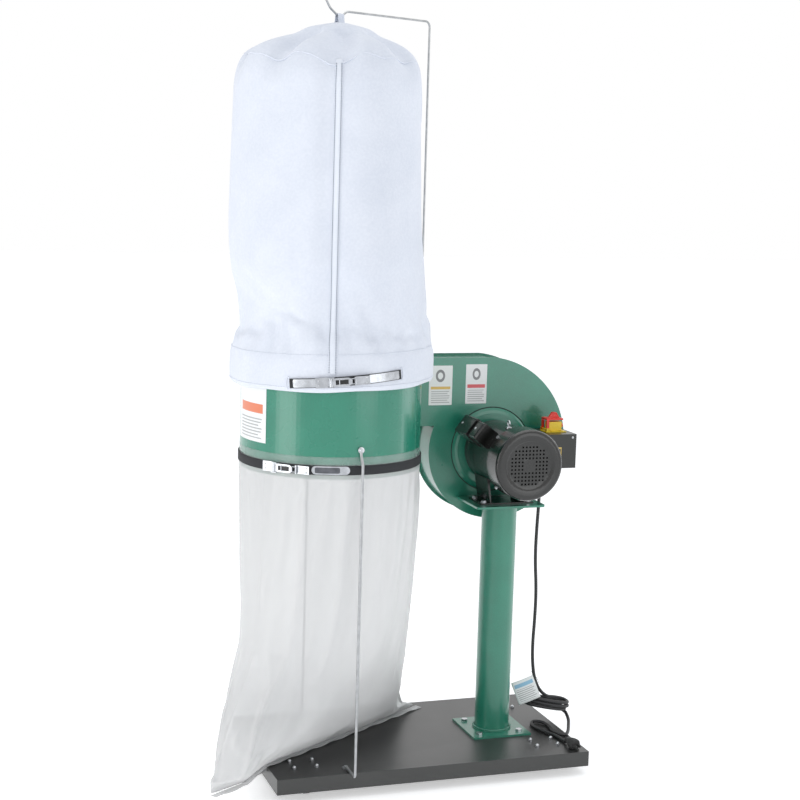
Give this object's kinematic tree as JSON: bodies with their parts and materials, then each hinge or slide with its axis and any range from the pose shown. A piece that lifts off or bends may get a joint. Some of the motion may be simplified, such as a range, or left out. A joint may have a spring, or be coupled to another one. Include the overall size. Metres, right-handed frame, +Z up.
{
  "type": "dust collector",
  "caption": "Portable dust collector: belt-clamped filter bag and film bag on a drum, motor-driven blower on a post, rolling base, twin hose ports at the back.",
  "frame": {"origin": "on the floor, under the middle of the base pan", "axes": "+X along the base's long side towards the blower, +Y from the fan cover towards the inlet, +Z up"},
  "size_m": [1.157, 0.7022, 2.1538],
  "materials": {
    "black_paint": "satin black powder coat",
    "green_paint": "glossy green enamel",
    "motor_paint": "glossy black enamel",
    "box_paint": "dark grey powder coat",
    "zinc": "bright zinc plate",
    "steel": "drawn steel",
    "lamination": "stacked steel",
    "black_rubber": "matt",
    "wheel_plastic": "matt",
    "black_plastic": "matt",
    "red_plastic": "gloss",
    "yellow_plastic": "gloss",
    "port_plastic": "matt",
    "aluminium": "die cast",
    "felt": "needle felt",
    "webbing": "woven strap",
    "film": "clear film",
    "card": "coated card"
  },
  "bodies": {
    "stand": {"base_pan": "black_paint", "post_flange": "green_paint", "post_tube": "green_paint", "post_top_plate": "green_paint", "motor_ring": "green_paint", "housing_front": "green_paint", "housing_scroll": "green_paint", "housing_back": "green_paint", "inlet_flange": "green_paint", "drum": "green_paint", "motor_shell": "motor_paint", "motor_bell_front": "motor_paint", "motor_bell_rear": "motor_paint", "fan_cover": "motor_paint", "motor_foot": "motor_paint", "capacitor_box": "motor_paint", "motor_stator": "lamination", "caster_plates": "zinc", "deck_bolts": "zinc", "motor_screws": "zinc", "housing_screws": "zinc", "latch_plates": "zinc", "motor_bearings": "steel", "hanger_rod": "steel", "hanger_bracket": "steel", "front_rod": "steel", "rear_rod": "steel", "switch_body": "black_plastic", "capacitor": "aluminium", "inlet_adapter": "port_plastic", "filter_bag": "felt", "filter_strap": "webbing", "collection_strap": "webbing", "collection_bag": "film", "switch_box": "box_paint", "cord_gland": "black_rubber", "cord_drop": "black_rubber", "cord_tail": "black_rubber", "cord_hank": "black_rubber", "cord_plug": "black_rubber", "cord_tag": "card"},
    "rotor": {"motor_shaft": "steel", "motor_rotor": "lamination", "cooling_fan": "black_plastic", "impeller": "steel", "impeller_screw": "zinc"},
    "switch_rocker": {"switch_rocker": "yellow_plastic"},
    "switch_key": {"switch_key": "yellow_plastic"},
    "switch_paddle": {"switch_paddle": "red_plastic"},
    "filter_latch": {"filter_latch_lever": "zinc"},
    "collection_latch": {"collection_latch_lever": "zinc"},
    "inlet_cap": {"inlet_cap": "port_plastic"},
    "caster_fork_front_left": {"caster_fork_front_left": "zinc"},
    "caster_wheel_front_left": {"caster_wheel_front_left": "wheel_plastic"},
    "caster_fork_front_right": {"caster_fork_front_right": "zinc"},
    "caster_wheel_front_right": {"caster_wheel_front_right": "wheel_plastic"},
    "caster_fork_rear_left": {"caster_fork_rear_left": "zinc"},
    "caster_wheel_rear_left": {"caster_wheel_rear_left": "wheel_plastic"},
    "caster_fork_rear_right": {"caster_fork_rear_right": "zinc"},
    "caster_wheel_rear_right": {"caster_wheel_rear_right": "wheel_plastic"}
  },
  "joints": [
    {"name": "caster_swivel_front_left", "type": "hinge", "parent": "stand", "child": "caster_fork_front_left", "pos_m": [-0.362, -0.172, 0.06], "axis": [0, 0, 1], "continuous": true},
    {"name": "caster_roll_front_left", "type": "hinge", "parent": "caster_fork_front_left", "child": "caster_wheel_front_left", "pos_m": [-0.362, -0.202, 0.025], "axis": [1, 0, 0], "continuous": true},
    {"name": "caster_swivel_front_right", "type": "hinge", "parent": "stand", "child": "caster_fork_front_right", "pos_m": [0.362, -0.172, 0.06], "axis": [0, 0, 1], "continuous": true},
    {"name": "caster_roll_front_right", "type": "hinge", "parent": "caster_fork_front_right", "child": "caster_wheel_front_right", "pos_m": [0.34437, -0.19627, 0.025], "axis": [0.809, -0.5878, 0], "continuous": true},
    {"name": "caster_swivel_rear_left", "type": "hinge", "parent": "stand", "child": "caster_fork_rear_left", "pos_m": [-0.362, 0.172, 0.06], "axis": [0, 0, 1], "continuous": true},
    {"name": "caster_roll_rear_left", "type": "hinge", "parent": "caster_fork_rear_left", "child": "caster_wheel_rear_left", "pos_m": [-0.3498, 0.14459, 0.025], "axis": [0.9135, 0.4067, 0], "continuous": true},
    {"name": "caster_swivel_rear_right", "type": "hinge", "parent": "stand", "child": "caster_fork_rear_right", "pos_m": [0.362, 0.172, 0.06], "axis": [0, 0, 1], "continuous": true},
    {"name": "caster_roll_rear_right", "type": "hinge", "parent": "caster_fork_rear_right", "child": "caster_wheel_rear_right", "pos_m": [0.35576, 0.14266, 0.025], "axis": [0.9781, -0.2079, 0], "continuous": true},
    {"name": "rotor_spin", "type": "hinge", "parent": "stand", "child": "rotor", "pos_m": [0.262, 0, 0.898], "axis": [0, 1, 0], "continuous": true},
    {"name": "switch_rock", "type": "hinge", "parent": "stand", "child": "switch_rocker", "pos_m": [0.428, 0, 0.953], "axis": [0, 1, 0], "range_deg": [-3, 3]},
    {"name": "key_pull", "type": "slide", "parent": "switch_rocker", "child": "switch_key", "axis": [1, 0, 0], "range_m": [0, 0.03]},
    {"name": "paddle_lift", "type": "hinge", "parent": "stand", "child": "switch_paddle", "pos_m": [0.401, 0, 0.966], "axis": [0, 1, 0], "range_deg": [-70, 0]},
    {"name": "filter_latch_open", "type": "hinge", "parent": "stand", "child": "filter_latch", "pos_m": [-0.35097, -0.32476, 1.15274], "axis": [-0.0872, 0, 0.9962], "range_deg": [-120, 0]},
    {"name": "collection_latch_open", "type": "hinge", "parent": "stand", "child": "collection_latch", "pos_m": [-0.46933, -0.2134, 0.915], "axis": [0, 0, 1], "range_deg": [-120, 0]},
    {"name": "cap_pull", "type": "slide", "parent": "stand", "child": "inlet_cap", "axis": [0, 1, 0], "range_m": [0, 0.06]}
  ]
}
